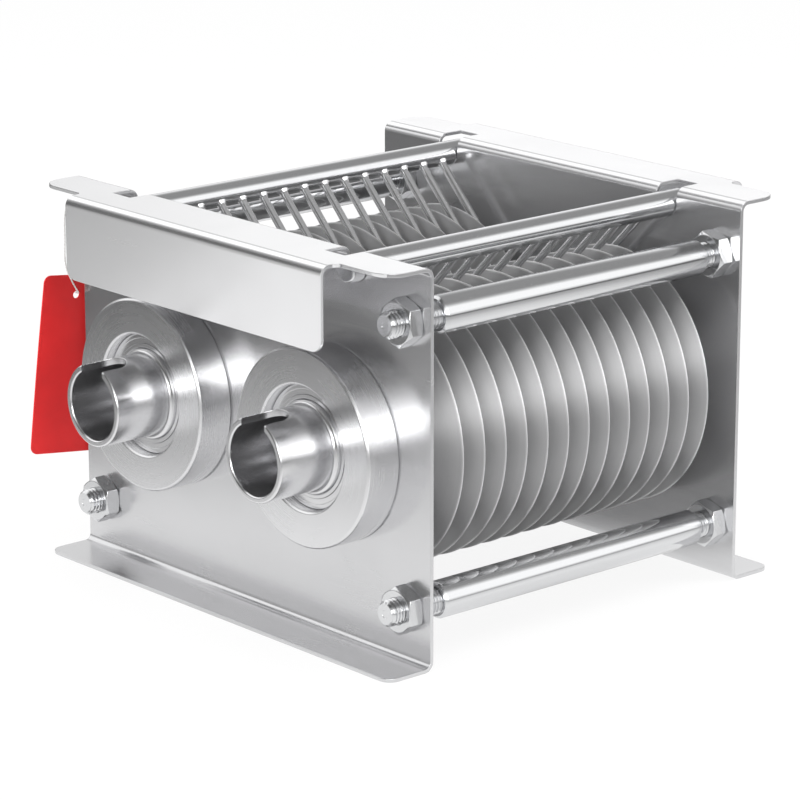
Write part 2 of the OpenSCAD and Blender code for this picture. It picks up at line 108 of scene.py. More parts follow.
# Distance in metres from the part's middle to the last level of the mirrored floor
FLOOR_REACH = 2.0
# Levels of the mirrored floor's painted glow by that distance, with a painted shadow under the part
PAINTED_FLOOR_LEVELS = (
    (0.0, 0.22), (0.06, 0.28), (0.1, 0.9), (0.15, 1.0), (0.3, 0.78), (0.42, 0.6), (0.7, 0.48),
    (1.0, 0.42), (1.3, 0.14), (FLOOR_REACH, 0.12),
)
# Route of the tag's string in millimetres: from under the tie rod's thread down beside the plate's edge
# to the tag's hole, up in front with some slack, and in over the plate's edge round the thread
STRING_KNOTS = (
    (-90, 17, 122.9), (-95.6, 15.8, 121.7), (-103.2, 12.7, 119.25), (-105.35, 8.7, 114.63),
    (-104.9, 7.5, 110), (-105.35, 7.5, 103.05), (-104.05, 7.5, 102.9), (-102.75, 7.5, 103.05),
    (-103.2, 4.75, 108.4), (-103.2, 2, 115.5), (-103.2, 2, 124.75), (-103.65, 3.2, 136.9),
    (-103.2, 8.8, 138.1), (-103.2, 11.5, 138.1), (-100.8, 13.9, 137.5), (-88.08, 17, 133.76),
    (-85.59, 17, 131.95), (-84.43, 17, 129.09), (-84.97, 17, 126.05), (-87.03, 17, 123.75),
)
# Shares of the string's thickness: a strand's place off the middle and its radius, the knot's place off
# the string's line and its strand's radius, and the part of the route that the knot bridges
STRAND_ASIDE = 0.21
STRAND_RADIUS = 0.29
KNOT_ASIDE = 0.75
KNOT_RADIUS = 0.4
KNOT_BRIDGES = 1.6
# Length of one turn of the knot as a share of what it bridges, and its points on each side
KNOT_TURN = 0.8
KNOT_STEPS = 12
# Shares of the weld's leg: its reach past the finger at the rod and at its top, and its height
WELD_FOOT = 1.4
WELD_TOP = 0.1
WELD_HIGH = 2.4
# Share of the fine lines in a grain, with the wide streaks as the rest
LINE_SHARE = 0.6
WHITE = (1, 1, 1, 1)
# Patches of light that only metal reflects: direction, and the cosines between which each one fades in
HIGH_WINDOW = ((-0.74, -0.25, 0.62), 0.82, 0.93)
CAMERA_WALL = ((0.72, -0.64, 0.27), 0.72, 0.93)
# Sums of x and y of a direction between which the long bands come in, from the front left to behind
BANDS_FROM = -0.6
BANDS_FULL = -0.1
# Level direction to the front on the left, where the mirrored floor's painted glow darkens sooner
FRONT_LEFT = (-0.75, -0.66, 0)


def length_property(name, description, default):
    """A length in metres."""
    return FloatProperty(name=name, description=description, default=default, unit="LENGTH", precision=5)


def plain_property(name, description, default):
    """A share, a level or a power."""
    return FloatProperty(name=name, description=description, default=default)


def colour_property(name, description, default):
    """A colour in linear values."""
    return FloatVectorProperty(
        name=name, description=description, default=default, subtype="COLOR", min=0, max=1)


class CartridgeSizes(bpy.types.PropertyGroup):
    """Small sizes that the frame leaves to the looks"""

    edge_round: length_property("Edge rounding", "Radius of the sheared and turned edges", 0.00025)
    stub_round: length_property("Stub edge rounding", "Radius of the drive stubs' edges", 0.0004)
    # The band below is the plates' upper part, which gets the sheet's finish in a lighter colour as painted
    # light
    band_deep: length_property("Band depth", "Height of the bent band with its skirt", 0.034)
    band_from: plain_property(
        "Band start", "Share of the bends' reach past which a face belongs to the band", 0.3)
    band_lean: plain_property("Band lean", "Share by which the skirt's shading tips down", 0.44)
    rim_deep: length_property("Rim depth", "Depth of a blade's ground rim", 0.0003)
    # Brightness of the painted highlight on a blade's ground rim
    rim_highlight: plain_property("Rim level", "Brightness of a blade's rim against its faces", 1.26)
    thread_major: length_property("Thread diameter", "Major diameter of the tie rods' threads", 0.010)
    thread_pitch: length_property("Thread pitch", "Distance from one crest to the next", 0.0015)
    thread_depth: length_property("Thread depth", "Height of the crests over the roots", 0.00088)
    tie_chamfer: length_property("Shoulder chamfer", "Chamfer of a tie rod's shoulders", 0.001)
    front_bare: length_property(
        "Bare front thread", "Thread between the front plate and a tie rod's shoulder", 0.011)
    rear_bare: length_property(
        "Bare rear thread", "Thread between a rear nut and a tie rod's shoulder", 0.005)
    centre_hole: length_property(
        "Centre drilling", "Diameter of the drilled centre in a thread's end", 0.003)
    weld_leg: length_property("Weld leg", "Reach of the weld round each comb finger", 0.0007)
    finger_wire: length_property("Finger wire", "Diameter of a comb finger's wire", 0.003)
    finger_aside: length_property(
        "Finger offset", "Distance of a finger's line from its rod's axis", 0.0012)
    finger_gap: length_property("Finger gap", "Gap between a finger and the spacers under it", 0.0003)
    tag_curl: length_property("Tag curl", "Depth of the tag's bow", 0.0012)
    string_thick: length_property("String thickness", "Diameter of the tag's string", 0.0008)
    string_turn: length_property("String lay", "Length of one turn of the string's two strands", 0.0026)
    string_step: length_property("String step", "Distance between the points along the string", 0.0007)
    round_steps: IntProperty(
        name="Round steps", description="Facets round a turned part", default=96, min=24, max=192)


class CartridgeColours(bpy.types.PropertyGroup):
    """Colours of the finishes"""

    sheet: colour_property("Sheet steel", "Colour of the brushed plates", (0.70, 0.70, 0.71))
    # The bent band is the same sheet steel, lighter in colour as painted light for the brighter skirt
    band: colour_property("Bent band", "Colour of the plates' bent upper band", (0.90, 0.90, 0.91))
    polish: colour_property("Polished steel", "Colour of the tie rods and comb rods", (0.74, 0.745, 0.755))
    wire: colour_property("Finger wire", "Colour of the comb fingers", (0.93, 0.93, 0.94))
    turned: colour_property("Turned steel", "Colour of the bearing housings", (0.80, 0.80, 0.81))
    blade: colour_property("Blade steel", "Colour of the blades", (0.78, 0.78, 0.785))
    nut: colour_property("Nut steel", "Colour of the nuts", (0.74, 0.745, 0.755))
    aluminium: colour_property("Spacer metal", "Colour of the spacers", (0.72, 0.72, 0.73))
    tag: colour_property("Tag card", "Colour of the blank tag", (0.86, 0.022, 0.024))
    string: colour_property("String", "Colour of the tag's string", (0.86, 0.85, 0.83))
    floor: colour_property("Floor", "Colour of the studio floor", (0.9, 0.9, 0.9))


class CartridgeStudio(bpy.types.PropertyGroup):
    """Camera and light"""

    azimuth: FloatProperty(
        name="Azimuth", description="Turn of the camera round the part from straight in front",
        default=math.radians(48.653), subtype="ANGLE")
    elevation: FloatProperty(
        name="Elevation", description="Rise of the camera above the horizon",
        default=math.radians(15.725), subtype="ANGLE")
    roll: FloatProperty(
        name="Roll", description="Turn of the camera round its own line of sight",
        default=math.radians(-0.037), subtype="ANGLE")
    distance: length_property("Distance", "Distance of the camera from its target", 1.444583)
    lens: plain_property("Lens", "Focal length of the camera in millimetres", 167.45)
    target: FloatVectorProperty(
        name="Target", description="Point that the camera looks at",
        default=(-0.000037, 0.085235, 0.066402), subtype="TRANSLATION", precision=6)
    side_light: plain_property("Side light", "Power of the soft box behind on the right", 8.0)
    front_light: plain_property("Front light", "Power of the soft box in front on the left", 9.0)
    top_light: plain_property("Top light", "Power of the soft box overhead", 6.0)
    room_light: plain_property("Room light", "Level of the even room that lights matte things", 0.8)
    band_light: plain_property("Band light", "Level of the long bands that metal reflects", 1.3)
    window: plain_property("High window", "Level of the window high on the left in metal", 1.0)
    # The floor's painted glow in metal darkens past this front edge, at this fall
    front_edge: length_property(
        "Front edge", "Where the floor in front on the left starts to darken in metal", 0.2)
    front_fall: plain_property(
        "Front fall", "How much sooner the floor in front on the left darkens in metal", 3.5)
    floor_white: plain_property(
        "Floor white", "Share of plain white in the floor that the camera sees", 0.9)
    camera_side: plain_property("Camera side", "Level of the wide light on the camera's side in metal", 0.3)
    camera_light: plain_property(
        "Camera light", "Power of the soft box behind the camera, which metal reflects", 11.0)
    front_room: plain_property(
        "Front room", "Share of the long bands that is left in front of the part", 0.3)


def sizes():
    return bpy.context.scene.cartridge_sizes


def colours():
    return bpy.context.scene.cartridge_colours


def studio():
    return bpy.context.scene.cartridge_studio


# Meshes


def put_piece(name, bm, body, materials, sharp=math.radians(38), weighted=True):
    """Makes a mesh object from a bmesh and fixes it to a CAD body."""
    mesh = bpy.data.meshes.new(name)
    bm.to_mesh(mesh)
    bm.free()
    for face in mesh.polygons:
        face.use_smooth = True
    mesh.set_sharp_from_angle(angle=sharp)
    for material in materials:
        mesh.materials.append(material)
    piece = bpy.data.objects.new(name, mesh)
    bpy.context.scene.collection.objects.link(piece)
    if weighted:
        modifier = piece.modifiers.new("Even shading", "WEIGHTED_NORMAL")
        modifier.keep_sharp = True
        modifier.weight = 90
    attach(piece, body)
    return piece


def merged_copy(node):
    """A bmesh of a CAD node with its loose triangles joined and its flats made whole."""
    bm = bmesh.new()
    bm.from_mesh(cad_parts[node].data)
    bmesh.ops.remove_doubles(bm, verts=bm.verts, dist=0.000002)
    bmesh.ops.dissolve_limit(
        bm, angle_limit=math.radians(0.4), use_dissolve_boundaries=False,
        verts=bm.verts, edges=bm.edges, delimit=set())
    return bm


def round_edges(bm, radius, least=math.radians(30), segments=2):
    """Rounds every edge that turns more than the least angle."""
    edges = [edge for edge in bm.edges if len(edge.link_faces) == 2 and edge.calc_face_angle(0) > least]
    bmesh.ops.bevel(
        bm, geom=edges, offset=radius, offset_type="OFFSET", segments=segments,
        profile=0.5, affect="EDGES", clamp_overlap=True, material=-1)


def turn_outline(bm, x, z, outline, steps):
    """Spins an outline of (radius, y) points round a line along Y."""
    points = [bm.verts.new((x + radius, y, z)) for radius, y in outline]
    edges = [bm.edges.new(pair) for pair in zip(points, points[1:])]
    bmesh.ops.spin(
        bm, geom=points + edges, cent=(x, 0, z), axis=ALONG_SHAFT, dvec=(0, 0, 0),
        angle=math.tau, steps=steps, use_merge=True, use_duplicate=False)
    bmesh.ops.remove_doubles(bm, verts=bm.verts, dist=0.000001)


def cut_thread(x, z, start, end, chamfered):
    """A closed sleeve with a helical thread from y = start to y = end, chamfered at the listed ends."""
    pitch = sizes().thread_pitch
    crest = sizes().thread_major / 2
    root = crest - sizes().thread_depth
    steps = 24
    turns = math.ceil((end - start) / pitch) + 2
    # Shares of the pitch and of the thread's depth
    flank_shares = ((0, 0), (0.08, 0), (0.44, 1), (0.56, 1), (0.92, 0), (1, 0))
    bm = bmesh.new()
    points = []
    for along, high in flank_shares:
        radius = root + (crest - root) * high
        points.append(bm.verts.new((x + radius, start - pitch + along * pitch, z)))
    edges = [bm.edges.new(pair) for pair in zip(points, points[1:])]
    bmesh.ops.spin(
        bm, geom=points + edges, cent=(x, 0, z), axis=ALONG_SHAFT,
        dvec=ALONG_SHAFT * pitch / steps, angle=math.tau * turns, steps=steps * turns,
        use_merge=False, use_duplicate=False)
    bmesh.ops.remove_doubles(bm, verts=bm.verts, dist=0.00001)
    for place, normal in ((start, -ALONG_SHAFT), (end, ALONG_SHAFT)):
        bmesh.ops.bisect_plane(
            bm, geom=bm.verts[:] + bm.edges[:] + bm.faces[:], dist=0.0000001,
            plane_co=(x, place, z), plane_no=normal, clear_outer=True)
        if place in chamfered:
            for vert in bm.verts:
                out = Vector((vert.co.x - x, 0, vert.co.z - z))
                limit = root + abs(vert.co.y - place)
                if out.length > limit:
                    vert.co -= out * (1 - limit / out.length)
    bmesh.ops.holes_fill(bm, edges=[edge for edge in bm.edges if edge.is_boundary], sides=0)
    bmesh.ops.recalc_face_normals(bm, faces=bm.faces)
    return bm


def join_mesh(bm, other):
    """Adds another bmesh to bm and frees it."""
    spare = bpy.data.meshes.new("spare")
    other.to_mesh(spare)
    other.free()
    bm.from_mesh(spare)
    bpy.data.meshes.remove(spare)


# Shader groups and materials


def add(tree, kind, inputs=None, **settings):
    """Adds a shader node. An input is a value or the socket that feeds it."""
    made = tree.nodes.new(kind)
    for key, value in settings.items():
        setattr(made, key, value)
    for key, value in (inputs or {}).items():
        if isinstance(value, bpy.types.NodeSocket):
            tree.links.new(value, made.inputs[key])
        else:
            made.inputs[key].default_value = value
    return made


def math_node(tree, operation, *values):
    """Output of a Math node of one operation."""
    return add(tree, "ShaderNodeMath", dict(enumerate(values)), operation=operation).outputs[0]


def vector_node(tree, operation, *vectors):
    """Output of a Vector Math node of one operation."""
    made = add(tree, "ShaderNodeVectorMath", dict(enumerate(vectors)), operation=operation)
    return made.outputs["Value" if operation in ("LENGTH", "DOT_PRODUCT") else "Vector"]


def map_range(tree, value, low, high, first=0.0, last=1.0):
    """Output that goes from first to last while the value goes from low to high."""
    inputs = {"Value": value, "From Min": low, "From Max": high, "To Min": first, "To Max": last}
    return add(tree, "ShaderNodeMapRange", inputs).outputs[0]


def noise(tree, place, scale, detail, roughness, distortion=0.0, along="Vector"):
    """Factor output of a noise texture, mostly from 0.3 to 0.7, over a place or, along W, one value."""
    inputs = {along: place, "Scale": scale, "Detail": detail, "Roughness": roughness,
              "Distortion": distortion}
    dimensions = "1D" if along == "W" else "3D"
    return add(tree, "ShaderNodeTexNoise", inputs, noise_dimensions=dimensions).outputs["Fac"]


def colour_ramp(tree, value, stops):
    """Colour output of a ramp through (position, colour) stops."""
    ramp = add(tree, "ShaderNodeValToRGB", {"Fac": value})
    elements = ramp.color_ramp.elements
    while len(elements) < len(stops):
        elements.new(0.5)
    for element, (place, tone) in zip(elements, stops):
        element.position = place
        element.color = (*tone, 1)
    return ramp.outputs[0]


def grey_ramp(tree, value, stops):
    """Colour output of a ramp of greys through (position, level) stops."""
    return colour_ramp(tree, value, [(place, (level, level, level)) for place, level in stops])


def new_group(name, inputs, outputs):
    """A shader group with float and vector sockets. Returns it with its input and output nodes."""
    group = bpy.data.node_groups.new(name, "ShaderNodeTree")
    for label, value in inputs.items():
        kind = "NodeSocketVector" if isinstance(value, tuple) else "NodeSocketFloat"
        socket = group.interface.new_socket(label, in_out="INPUT", socket_type=kind)
        socket.default_value = value
    for label in outputs:
        group.interface.new_socket(label, in_out="OUTPUT", socket_type="NodeSocketFloat")
    return group, group.nodes.new("NodeGroupInput"), group.nodes.new("NodeGroupOutput")


def drawn_grain_group():
    """Fine lines drawn in one direction. Stretch is the count of streaks per metre along each axis."""
    group, given, result = new_group(
        "Drawn grain", {"Vector": (0.0, 0.0, 0.0), "Stretch": (1.0, 1.0, 1.0)}, ("Lines", "Streaks"))
    placed = vector_node(group, "MULTIPLY", given.outputs["Vector"], given.outputs["Stretch"])
    for label, scale, detail, roughness in (("Lines", 1.0, 5.0, 0.72), ("Streaks", 0.09, 3.0, 0.5)):
        grain = noise(group, placed, scale, detail, roughness)
        group.links.new(map_range(group, grain, 0.28, 0.72), result.inputs[label])


def turned_rings_group():
    """Rings left by a lathe tool round the two shafts' axes, and the distance from the nearer axis."""
    group, given, result = new_group(
        "Turned rings", {"Vector": (0.0, 0.0, 0.0), "Rings": 4000.0}, ("Lines", "Streaks", "Radius"))
    place = add(group, "ShaderNodeSeparateXYZ", {0: given.outputs["Vector"]})
    out_x = math_node(group, "SUBTRACT", math_node(group, "ABSOLUTE", place.outputs[0]), SHAFT_SIDE)
    out_z = math_node(group, "SUBTRACT", place.outputs[2], SHAFT_HEIGHT)
    square_x = math_node(group, "MULTIPLY", out_x, out_x)
    square_z = math_node(group, "MULTIPLY", out_z, out_z)
    radius = math_node(group, "SQRT", math_node(group, "ADD", square_x, square_z))
    group.links.new(radius, result.inputs["Radius"])
    reach = math_node(group, "ADD", radius, place.outputs[1])
    count = math_node(group, "MULTIPLY", reach, given.outputs["Rings"])
    for label, scale, detail, roughness in (("Lines", 1.0, 3.0, 0.6), ("Streaks", 0.13, 2.0, 0.5)):
        grain = noise(group, count, scale, detail, roughness, along="W")
        group.links.new(map_range(group, grain, 0.3, 0.7), result.inputs[label])


def handling_group():
    """Soft uneven patches that handling leaves on bare metal."""
    group, given, result = new_group(
        "Handling marks", {"Vector": (0.0, 0.0, 0.0), "Scale": 30.0}, ("Patches",))
    soft = noise(group, given.outputs["Vector"], given.outputs["Scale"], 4.0, 0.55, distortion=0.6)
    group.links.new(map_range(group, soft, 0.35, 0.65), result.inputs["Patches"])


def place_group(tree, group_name, inputs):
    """Adds a node of a shader group."""
    return add(tree, "ShaderNodeGroup", inputs, node_tree=bpy.data.node_groups[group_name])


def blank_material(name):
    """A material with an empty tree, its surface shader and its object coordinates."""
    plain = bpy.data.materials.get(name)
    if plain:
        plain.name = name + "_plain"
    material = bpy.data.materials.new(name)
    material.use_nodes = True
    tree = material.node_tree
    tree.nodes.clear()
    shader = add(tree, "ShaderNodeBsdfPrincipled")
    output = add(tree, "ShaderNodeOutputMaterial")
    tree.links.new(shader.outputs[0], output.inputs[0])
    place = add(tree, "ShaderNodeTexCoord").outputs["Object"]
    return material, tree, shader, place


def metal(name, colour, group_name, group_inputs, roughness, spread, contrast, depth,
          handling=0.05, anisotropic=0.0, tangent="", lean=0.0, metallic=0.97):
    """Bare metal with a grain. Spread and contrast say how much the grain moves roughness and colour.
    Lean tips the shading down by that share, as on a bent strip that isn't quite upright."""
    _, tree, shader, place = blank_material(name)
    grain = place_group(tree, group_name, {"Vector": place, **group_inputs})
    marks = place_group(tree, "Handling marks", {"Vector": place})
    fine = math_node(tree, "MULTIPLY", grain.outputs["Lines"], LINE_SHARE)
    broad = math_node(tree, "MULTIPLY", grain.outputs["Streaks"], 1 - LINE_SHARE)
    both = math_node(tree, "ADD", fine, broad)
    dark = [part * (1 - contrast) for part in colour]
    shade = add(tree, "ShaderNodeMix", {"Factor": both, "A": (*dark, 1), "B": (*colour, 1)},
                data_type="RGBA")
    tree.links.new(shade.outputs["Result"], shader.inputs["Base Color"])
    from_grain = math_node(tree, "MULTIPLY_ADD", both, spread, roughness)
    dulled = math_node(tree, "MULTIPLY_ADD", marks.outputs["Patches"], handling, from_grain)
    tree.links.new(dulled, shader.inputs["Roughness"])
    bump = add(tree, "ShaderNodeBump",
               {"Strength": 1.0, "Distance": depth, "Height": grain.outputs["Lines"]})
    tree.links.new(bump.outputs[0], shader.inputs["Normal"])
    shader.inputs["Metallic"].default_value = metallic
    if lean:
        square = tree.nodes.new("ShaderNodeNewGeometry").outputs["Normal"]
        tipped = vector_node(tree, "ADD", square, (0, 0, -lean))
        tree.links.new(vector_node(tree, "NORMALIZE", tipped), bump.inputs["Normal"])
    if anisotropic:
        shader.inputs["Anisotropic"].default_value = anisotropic
        # A quarter turn, so that highlights run across the rings
        shader.inputs["Anisotropic Rotation"].default_value = 0.25
        flow = add(tree, "ShaderNodeTangent", direction_type="RADIAL", axis=tangent)
        tree.links.new(flow.outputs[0], shader.inputs["Tangent"])
    return tree, shader, grain


def make_finishes():
    """Every metal finish of the cartridge, by the record's slot names."""
    drawn_grain_group()
    turned_rings_group()
    handling_group()
    tint = colours()
    grain = "Drawn grain"
    rings = "Turned rings"
    along_x = {"Stretch": (9.0, 1900.0, 1900.0)}
    along_y = {"Stretch": (2200.0, 14.0, 2200.0)}
    on_nuts = {"Stretch": (600.0, 600.0, 600.0)}
    on_wire = {"Stretch": (500.0, 500.0, 500.0)}
    # The four numbers are roughness, its spread, contrast, and the grain's depth in metres
    metal("brushed_sheet", tint.sheet, grain, along_x, 0.17, 0.08, 0.06, 0.000002, metallic=0.93)
    # Painted light: the bent band is the plates' own sheet steel in a lighter colour, with its shading
    # tipped down
    metal("bent_band", tint.band, grain, along_x, 0.16, 0.08, 0.04, 0.000001, lean=sizes().band_lean)
    metal("polished_rod", tint.polish, grain, along_y, 0.07, 0.05, 0.04, 0.0000015, handling=0.02)
    metal("nut_steel", tint.nut, grain, on_nuts, 0.13, 0.06, 0.06, 0.000001)
    metal("turned_steel", tint.turned, rings, {"Rings": 4200.0}, 0.22, 0.04, 0.03, 0.0000002)
    metal("bearing_steel", tint.turned, rings, {"Rings": 6000.0}, 0.14, 0.06, 0.06, 0.0000006)
    metal("shaft_steel", tint.turned, rings, {"Rings": 5000.0}, 0.15, 0.05, 0.05, 0.0000006)
    blade = metal("blade_steel", tint.blade, rings, {"Rings": 5200.0}, 0.72, 0.02, 0.03, 0.0000005,
                  handling=0.0, anisotropic=0.96, tangent="Y", metallic=0.98)
    paint_rim_highlights(*blade)
    metal("spacer_metal", tint.aluminium, rings, {"Rings": 3600.0}, 0.32, 0.08, 0.06, 0.000006)
    metal("finger_wire", tint.wire, grain, on_wire, 0.15, 0.06, 0.03, 0.0000006)


def paint_rim_highlights(tree, shader, grain):
    """Brightens the colour of the blades' ground rims, a hair wide, as a painted highlight on the real
    ground rim.
    """
    outer = span("right_blade_1").z / 2
    deep = sizes().rim_deep
    rim = map_range(tree, grain.outputs["Radius"], outer - deep, outer - deep / 2, 1.0, sizes().rim_highlight)
    faces = shader.inputs["Base Color"].links[0].from_socket
    highlighted = add(tree, "ShaderNodeVectorMath", {0: faces, "Scale": rim}, operation="SCALE")
    tree.links.new(highlighted.outputs[0], shader.inputs["Base Color"])


def finish(name):
    """The made material of a slot."""
    return bpy.data.materials[name]


def dress(node, slot_name):
    """Gives a CAD node its finish."""
    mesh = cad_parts[node].data
    mesh.materials.clear()
    mesh.materials.append(finish(slot_name))


def rounded_stand_in(node, body, slot_name, radius, least=math.radians(30)):
    """A copy of a CAD node with rounded edges, which stands for it."""
    bm = merged_copy(node)
    round_edges(bm, radius, least)
    piece = put_piece(node + "_finished", bm, body, [finish(slot_name)])
    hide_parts(node)
    return piece


class CARTRIDGE_OT_plates(bpy.types.Operator):
    """Brushed side plates with softened edges"""

    bl_idname = "cartridge.plates"
    bl_label = "Side plates"

    def execute(self, context):
        make_finishes()
        for end, sign in ENDS:
            plate = rounded_stand_in(end + "_side_plate", "frame", "brushed_sheet", sizes().edge_round)
            plate.data.materials.append(finish("bent_band"))
            centre_y = middle(end + "_side_plate").y
            least_y = span(end + "_side_plate").y / 2 * sizes().band_from
            least_z = PLATE_TOP - sizes().band_deep
            # Faces of the bent band take the lighter copy of the sheet's finish, which is painted light
            for face in plate.data.polygons:
                outward = (face.center.y - centre_y) * sign
                looks_up = face.normal.z > 0.5
                if face.center.z > least_z and (outward > least_y or looks_up):
                    face.material_index = 1
        return {"FINISHED"}


class CARTRIDGE_OT_tie_rods(bpy.types.Operator):
    """Polished tie rods with cut threads"""

    bl_idname = "cartridge.tie_rods"
    bl_label = "Tie rods"

    def execute(self, context):
        for place in TIE_PLACES:
            self.make_rod(place)
        return {"FINISHED"}

    def make_rod(self, place):
        node = "tie_rod_" + place
        low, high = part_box(node)
        centre = middle(node)
        body_r = (high.x - low.x) / 2
        root_r = sizes().thread_major / 2 - sizes().thread_depth
        dimple_r = sizes().centre_hole / 2
        chamfer = sizes().tie_chamfer
        front_shoulder = FRONT_INSIDE + sizes().front_bare
        rear_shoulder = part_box("rear_nuts")[0].y - sizes().rear_bare
        soft = chamfer / 4
        bm = bmesh.new()
        turn_outline(bm, centre.x, centre.z, [
            (0, low.y + dimple_r),
            (dimple_r, low.y),
            (root_r - soft, low.y),
            (root_r, low.y + soft),
            (root_r, front_shoulder),
            (body_r - chamfer, front_shoulder),
            (body_r - soft, front_shoulder + chamfer - soft),
            (body_r, front_shoulder + chamfer + soft),
            (body_r, rear_shoulder - chamfer - soft),
            (body_r - soft, rear_shoulder - chamfer + soft),
            (body_r - chamfer, rear_shoulder),
            (root_r, rear_shoulder),
            (root_r, high.y - soft),
            (root_r - soft, high.y),
            (dimple_r, high.y),
            (0, high.y - dimple_r),
        ], sizes().round_steps)
        bmesh.ops.recalc_face_normals(bm, faces=bm.faces)
        # How far a thread's ends lie inside the rod, so that no faces coincide
        hidden = soft / 2
        front_end = low.y + hidden
        rear_end = high.y - hidden
        join_mesh(bm, cut_thread(centre.x, centre.z, front_end, front_shoulder + hidden, (front_end,)))
        join_mesh(bm, cut_thread(centre.x, centre.z, rear_shoulder - hidden, rear_end, (rear_end,)))
        piece = put_piece(node + "_threaded", bm, "frame", [finish("polished_rod")],
                          weighted=False)
        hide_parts(node)


class CARTRIDGE_OT_nuts(bpy.types.Operator):
    """Hexagon nuts with soft corners"""

    bl_idname = "cartridge.nuts"
    bl_label = "Nuts"

    def execute(self, context):
        for end, _ in ENDS:
            rounded_stand_in(
                end + "_nuts", "frame", "nut_steel", sizes().edge_round, least=math.radians(20))
        return {"FINISHED"}


class CARTRIDGE_OT_bearings(bpy.types.Operator):
    """Turned bearing housings, and bearings with their shields"""

    bl_idname = "cartridge.bearings"
    bl_label = "Bearings"

    def execute(self, context):
        for side, _ in SIDES:
            for end, _ in ENDS:
                name = end + "_" + side
                rounded_stand_in("housing_" + name, "frame", "turned_steel", sizes().edge_round)
                rounded_stand_in("outer_race_" + name, "frame", "bearing_steel", sizes().edge_round / 2)
                rounded_stand_in("inner_race_" + name, side + "_rotor", "bearing_steel",
                                 sizes().edge_round / 2)
        return {"FINISHED"}


class CARTRIDGE_OT_shafts(bpy.types.Operator):
    """Shafts with slotted drive stubs, keys and clamp nuts"""

    bl_idname = "cartridge.shafts"
    bl_label = "Shafts"

    def execute(self, context):
        for side, _ in SIDES:
            body = side + "_rotor"
            rounded_stand_in(side + "_shaft", body, "shaft_steel", sizes().stub_round)
            rounded_stand_in(side + "_clamp_nut", body, "turned_steel", sizes().edge_round)
            dress(side + "_key", "shaft_steel")
        return {"FINISHED"}


class CARTRIDGE_OT_blades(bpy.types.Operator):
    """Blades and the spacers between them"""

    bl_idname = "cartridge.blades"
    bl_label = "Blades"

    def execute(self, context):
        for side, _ in SIDES:
            for node in blades_of(side):
                dress(node, "blade_steel")
            dress(side + "_spacers", "spacer_metal")
        return {"FINISHED"}


class CARTRIDGE_OT_combs(bpy.types.Operator):
    """Comb rods, wire fingers and their welds"""

    bl_idname = "cartridge.combs"
    bl_label = "Combs"

    def execute(self, context):
        for side, sign in SIDES:
            body = side + "_comb"
            rounded_stand_in(side + "_comb_rod", body, "polished_rod", sizes().edge_round)
            dress(side + "_comb_fingers", "finger_wire")
            self.weld_fingers(side, sign, body)
        return {"FINISHED"}

    def weld_fingers(self, side, sign, body):
        """A small fillet of weld round the foot of each finger."""
        rod = middle(side + "_comb_rod")
        rod_r = span(side + "_comb_rod").x / 2
        finger_r = sizes().finger_wire / 2
        aside = sizes().finger_aside
        low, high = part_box(side + "_comb_fingers")
        count = len(blades_of(side)) + 1
        pitch = (high.y - low.y - 2 * finger_r) / (count - 1)
        out = abs(rod.x) - SHAFT_SIDE
        rise = rod.z - SHAFT_HEIGHT
        line = span(side + "_spacers").x / 2 + sizes().finger_gap + finger_r - aside
        tilt = math.atan(out / rise) + math.asin(line / math.hypot(out, rise))
        leg = sizes().weld_leg
        turn = Matrix.Rotation(math.pi + sign * tilt, 4, "Y")
        foot = Matrix.Translation((sign * aside, 0, rod_r - leg / 2))
        bm = bmesh.new()
        for k in range(count):
            y = low.y + finger_r + k * pitch
            bmesh.ops.create_cone(
                bm, cap_ends=True, segments=20, radius1=finger_r + leg * WELD_FOOT,
                radius2=finger_r + leg * WELD_TOP, depth=leg * WELD_HIGH,
                matrix=Matrix.Translation((rod.x, y, rod.z)) @ turn @ foot)
        round_edges(bm, leg / 2, least=math.radians(20), segments=3)
        put_piece(side + "_comb_welds", bm, body, [finish("finger_wire")])


class CARTRIDGE_OT_tag(bpy.types.Operator):
    """Blank card tag"""

    bl_idname = "cartridge.tag"
    bl_label = "Hang tag"

    def execute(self, context):
        material = self.card()
        low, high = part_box("hang_tag")
        bm = merged_copy("hang_tag")
        rows = 14
        bow_down = 0.35
        for k in range(1, rows):
            for axis in (1, 2):
                place = Vector(low)
                place[axis] += (high[axis] - low[axis]) * k / rows
                normal = Vector((0, 0, 0))
                normal[axis] = 1
                bmesh.ops.bisect_plane(
                    bm, geom=bm.verts[:] + bm.edges[:] + bm.faces[:], dist=0.000001,
                    plane_co=place, plane_no=normal)
        for vert in bm.verts:
            down = (high.z - vert.co.z) / (high.z - low.z)
            back = (vert.co.y - low.y) / (high.y - low.y)
            bow = math.sin(math.pi * down) * bow_down + (back - 0.5) ** 2
            vert.co.x -= sizes().tag_curl * bow
        piece = put_piece("tag_card_blank", bm, "frame", [material], weighted=False)
        piece.visible_glossy = False
        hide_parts("hang_tag")
        return {"FINISHED"}

    def card(self):
        """Coated card, with paper fibres in its bump and slight wear of the colour."""
        material, tree, shader, place = blank_material("tag_card")
        fibres = noise(tree, place, 2600.0, 4.0, 0.6)
        cloud = noise(tree, place, 60.0, 3.0, 0.5)
        red = colours().tag
        worn = [part * 0.86 for part in red]
        tone = colour_ramp(tree, cloud, ((0.3, worn), (0.7, red)))
        tree.links.new(tone, shader.inputs["Base Color"])
        smoothest = 0.34
        rough = math_node(tree, "MULTIPLY_ADD", fibres, 0.16, smoothest)
        tree.links.new(rough, shader.inputs["Roughness"])
        bump = add(tree, "ShaderNodeBump", {"Strength": 0.6, "Distance": 0.00002, "Height": fibres})
        tree.links.new(bump.outputs[0], shader.inputs["Normal"])
        return material


